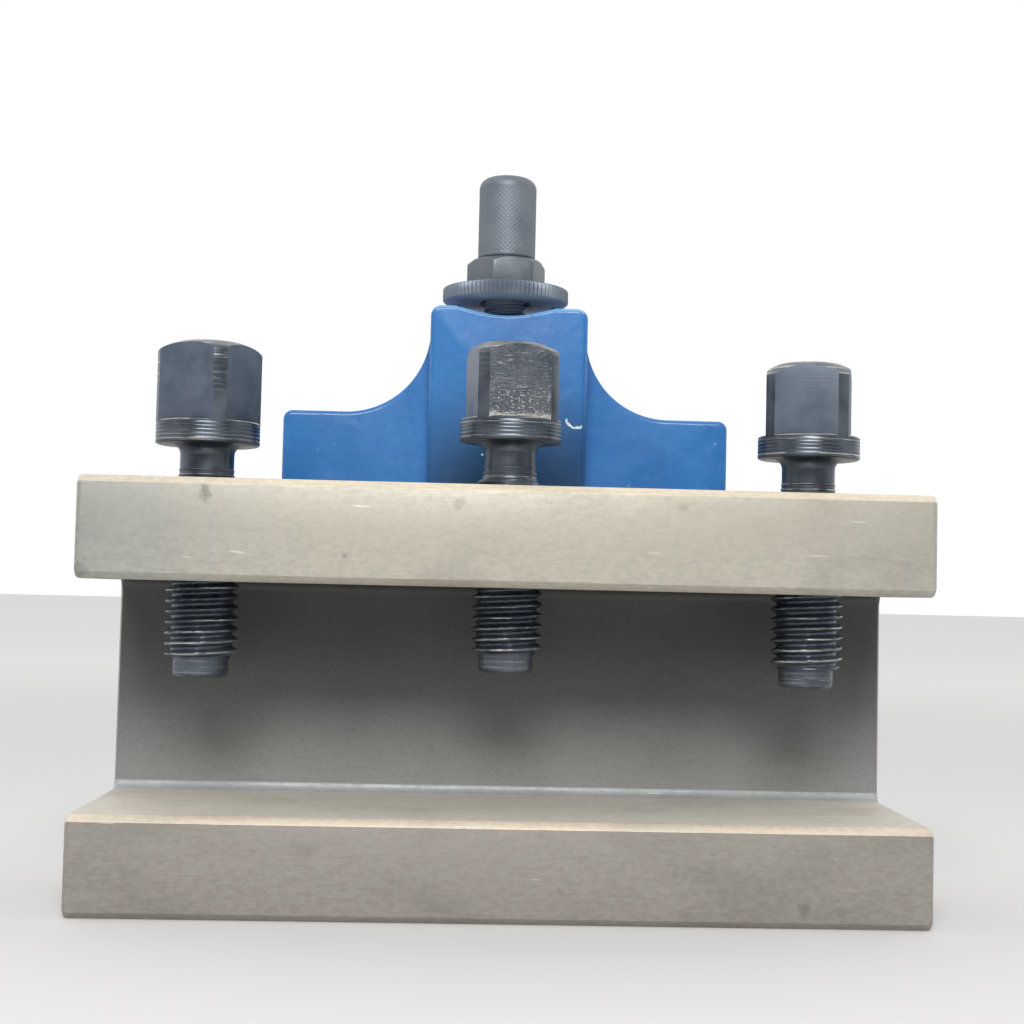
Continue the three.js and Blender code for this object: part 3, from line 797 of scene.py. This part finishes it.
def height_screw():
    foot, top = spindle_low.z / MM, spindle_high.z / MM
    grip_low = top - GRIP_H - CLOSER
    point = (
        (0, 2.2), (0.15, 2.55), (0.4, 2.85), (0.7, 3.0), (2.4, 3.0), (2.6, 3.15), (3.2, 3.7),
        (3.6, SPINDLE_THREAD_R),
    )
    zones = [(foot + z, r, 0) for z, r in point]
    z = foot + 3.7
    while z < grip_low - 0.4:
        fade = min(1.0, (z - foot - 3.5), (grip_low - 0.3 - z) / 0.8)
        zones.append((z, SPINDLE_THREAD_R, SPINDLE_THREAD_DEPTH * fade))
        z += THREAD_ROW
    zones += [
        (grip_low, SPINDLE_THREAD_R, 0), (grip_low, 4.9, 0), (grip_low + 0.1, 5.15, 0),
        (grip_low + 0.35, 5.35, 0),
    ]
    for z in np.arange(grip_low + 0.5, top - 0.02, GRIP_ROW):
        t = max(0.0, z - (top - GRIP_ROUND)) / GRIP_ROUND
        fade = np.clip((z - grip_low - 0.5) / 0.5, 0, 1) * np.clip((top - 2.4 - z) / 0.7, 0, 1)
        radius = GRIP_R - GRIP_ROUND * (1 - math.sqrt(max(0.0, 1 - t ** 2.2)))
        zones.append((z, radius, KNURL_DEPTH * fade))
    zones.append((top - 0.01, 1.6, 0))

    def cut(z, ang):
        """The thread below the grip, and a diamond knurl on it."""
        if z < grip_low:
            return thread_depth(z, ang, SPINDLE_PITCH)
        around, along = ang / (2 * np.pi) * KNURL_RIBS, z / KNURL_STEP
        return np.maximum(zigzag(around + along), zigzag(around - along)) ** 2

    screw = stacked("height_screw_visual", zones, 304, SPINDLE_X, SPINDLE_Y, cut)
    for f in screw.data.polygons:
        # the thread below the grip takes the lighter bluish grey: painted light and painted reflection
        f.material_index = 1 if f.center.z / MM < grip_low - 0.02 else 0
    return smooth(screw, 50)


def nut_bore(z0, z1):
    """Cuts a nut's bore, with a countersink at both ends."""
    profile = [
        (NUT_MOUTH, z0 - 0.5), (NUT_MOUTH, z0), (NUT_BORE, z0 + 0.8),
        (NUT_BORE, z1 - 0.8), (NUT_MOUTH, z1), (NUT_MOUTH, z1 + 0.5),
    ]
    return turned("bore", profile, SPINDLE_X, SPINDLE_Y)


def hex_nut():
    low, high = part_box("hex_lock_nut")
    z0, z1 = low.z / MM - CLOSER, high.z / MM
    r = HEX_HALF / math.cos(math.pi / 6)
    blank = [(6.3, z0), (r + 0.05, z0 + 0.7), (r + 0.05, z1 - 1.15), (6.3, z1 - 0.1), (5.9, z1)]
    nut = turned("hex_lock_nut_visual", blank, SPINDLE_X, SPINDLE_Y, 144)
    plan = []
    for i in range(6):
        a = math.radians(HEX_TURN + 60 * i)
        plan.append((SPINDLE_X + r * math.cos(a), SPINDLE_Y + r * math.sin(a)))
    combine(nut, prism("hex", plan, upright, z0 - 1, z1 + 1), "INTERSECT")
    combine(nut, nut_bore(z0, z1))
    tidy(nut)
    rounded(nut, NUT_EDGE, 2, 24)
    return smooth(nut, 34)


def disc_nut():
    low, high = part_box("knurled_disc_nut")
    z0, z1 = low.z / MM, high.z / MM
    rim = (high.x - low.x) / MM / 2
    # the rounded edge of the rim: distance from the face, from the rim, and depth of the knurl
    edge = ((0.0, 0.5, 0), (0.04, 0.28, 0.1), (0.14, 0.1, 0.28), (0.3, 0.0, 0.36))
    zones = [(z0 + up, rim - inwards, cut) for up, inwards, cut in edge]
    zones += [(z1 - down, rim - inwards, cut) for down, inwards, cut in reversed(edge)]
    disc = stacked("knurled_disc_nut_visual", zones, DISC_TEETH * FACETS_PER_TOOTH, SPINDLE_X, SPINDLE_Y,
                   lambda z, ang: zigzag(ang / (2 * np.pi) * DISC_TEETH))
    combine(outward(disc), nut_bore(z0, z1))
    for f in disc.data.polygons:
        # the underside takes the lighter bluish copy: a painted reflection
        f.material_index = 1 if f.normal.z < -0.8 and f.center.z / MM < z0 + 0.5 else 0
    return smooth(disc, 38)


# ---- build and attach ------------------------------------------------------------------------------
bar = dress(steel_bar(), "holder", "ground_steel", ground, milled, seat, edges, lit_ledge, root)
blue = blue_material("blue_paint", (0.019, 0.135, 0.395), (0.034, 0.182, 0.485))
# a lighter copy of the paint for the tower's rounded front-top edge: a painted highlight
blue_highlight = blue_material("blue_paint_highlight", (0.12, 0.33, 0.64), (0.17, 0.42, 0.74))
blue_part = dress(carrier(), "holder", "blue_paint", blue, seat, blue_highlight)
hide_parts("holder_body")
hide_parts("holder_body")
# node, body, turn of the head in degrees, height of its crown, thread phase, strip wear, finish of the flats
CLAMP_SCREWS = (
    ("clamp_screw_left", "clamp_left", -25, 1.8, 0.97, 0.4, flat_black),
    ("clamp_screw_center", "clamp_center", 11, 2.2, 0.94, 0.22, rough_black),
    ("clamp_screw_right", "clamp_right", -15.5, 2.4, 1.7, 0.16, flat_black),
)
for node, body, turn, crown_h, phase, strip_wear, faces in CLAMP_SCREWS:
    screw = clamp_screw(node, turn, crown_h, phase, strip_wear)
    dress(screw, body, "black_screw", turned_black, faces, lit_side_black)
    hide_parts(node)
spindle = dress(height_screw(), "height", "grey_spindle", spindle_grey, spindle_thread_reflection)
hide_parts("height_screw")
nut = dress(hex_nut(), "lock_nut", "grey_spindle", nut_grey)
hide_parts("hex_lock_nut")
disc = dress(disc_nut(), "disc_nut", "black_nut", nut_black, nut_underside_reflection)
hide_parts("knurled_disc_nut")

# ---- floor, light and camera ---------------------------------------------------------------------------
floor = make("floor", [(x, y, 0) for x, y in ((-4000, -3000), (4000, -3000), (4000, 6000), (-4000, 6000))],
             [[0, 1, 2, 3]])
floor_mat = Paint("floor", Roughness=0.9)
# painted shade: the floor is darker near the part and lightens between 150 mm and 900 mm from it
FLOOR_NEAR_SHADED, FLOOR_FAR = (0.66, 0.66, 0.66), (0.9, 0.9, 0.9)
x_squared = floor_mat.math("POWER", floor_mat.axis("X"), 2.0)
y_squared = floor_mat.math("POWER", floor_mat.axis("Y"), 2.0)
reach = floor_mat.math("SQRT", floor_mat.math("ADD", x_squared, y_squared))
floor_mat.put(floor_mat.mix(floor_mat.span(reach, 150.0, 900.0), FLOOR_NEAR_SHADED, FLOOR_FAR), "Base Color")
floor.data.materials.append(floor_mat.m)

FRONT_LEVEL = 0.16    # brightness of the studio on the camera's side


def studio(tree):
    """A light tent: white behind the part and overhead, dimmer on the camera's side."""
    new, link = tree.nodes.new, tree.links.new
    split = new("ShaderNodeSeparateXYZ")
    link(new("ShaderNodeTexCoord").outputs["Generated"], split.inputs[0])
    parts = []
    for axis, low, high, a, b in (("Y", -0.75, 0.2, 0.0, 1.0), ("Z", 0.5, 1.0, 0.0, 0.7)):
        n = new("ShaderNodeMapRange")
        n.interpolation_type = "SMOOTHSTEP"
        for i, v in enumerate((low, high, a, b)):
            n.inputs[i + 1].default_value = v
        link(split.outputs[axis], n.inputs[0])
        parts.append(n.outputs[0])
    most = new("ShaderNodeMath")
    most.operation = "MAXIMUM"
    link(parts[0], most.inputs[0])
    link(parts[1], most.inputs[1])
    level = new("ShaderNodeMapRange")
    level.inputs[3].default_value, level.inputs[4].default_value = FRONT_LEVEL, 1.0
    link(most.outputs[0], level.inputs[0])
    link(level.outputs[0], tree.nodes["Background"].inputs["Strength"])


world = bpy.data.worlds.new("studio")
world.use_nodes = True
world.node_tree.nodes["Background"].inputs["Color"].default_value = (1.0, 1.0, 1.0, 1.0)
studio(world.node_tree)
bpy.context.scene.world = world


def lamp(name, at, target, wide, high, power, colour=(1, 1, 1)):
    light = bpy.data.lights.new(name, "AREA")
    light.shape, light.size, light.size_y, light.energy, light.color = "RECTANGLE", wide, high, power, colour
    obj = bpy.data.objects.new(name, light)
    bpy.context.scene.collection.objects.link(obj)
    obj.location = at
    obj.rotation_euler = (Vector(target) - Vector(at)).to_track_quat("-Z", "Y").to_euler()


lamp("key", (-0.03, -0.66, 0.53), (0, 0, 0.05), 0.42, 0.24, 5.6, (1.0, 0.99, 0.97))

scene = bpy.context.scene
scene.view_settings.view_transform = "Standard"
# the camera stands in front of the part; its angles are in radians
yaw, pitch, roll = 0.0417, 0.048776, 0.023151
CAMERA_AT = Vector((-6.9834, FRONT - 257.3876, 51.5056))
ahead = Vector((math.sin(yaw) * math.cos(pitch), math.cos(yaw) * math.cos(pitch), math.sin(pitch)))
side = Vector((math.cos(yaw), -math.sin(yaw), 0))
up = side.cross(ahead)
right = side * math.cos(roll) + up * math.sin(roll)
top = up * math.cos(roll) - side * math.sin(roll)
cam = bpy.data.cameras.new("camera")
cam.sensor_width = 36.0
cam.lens = 58.0078125
cam.shift_x = -0.023115234375
cam.clip_start = 0.01
camera = bpy.data.objects.new("camera", cam)
scene.collection.objects.link(camera)
place = Matrix((right, top, -ahead)).transposed().to_4x4()
place.translation = CAMERA_AT * MM
camera.matrix_world = place
scene.camera = camera
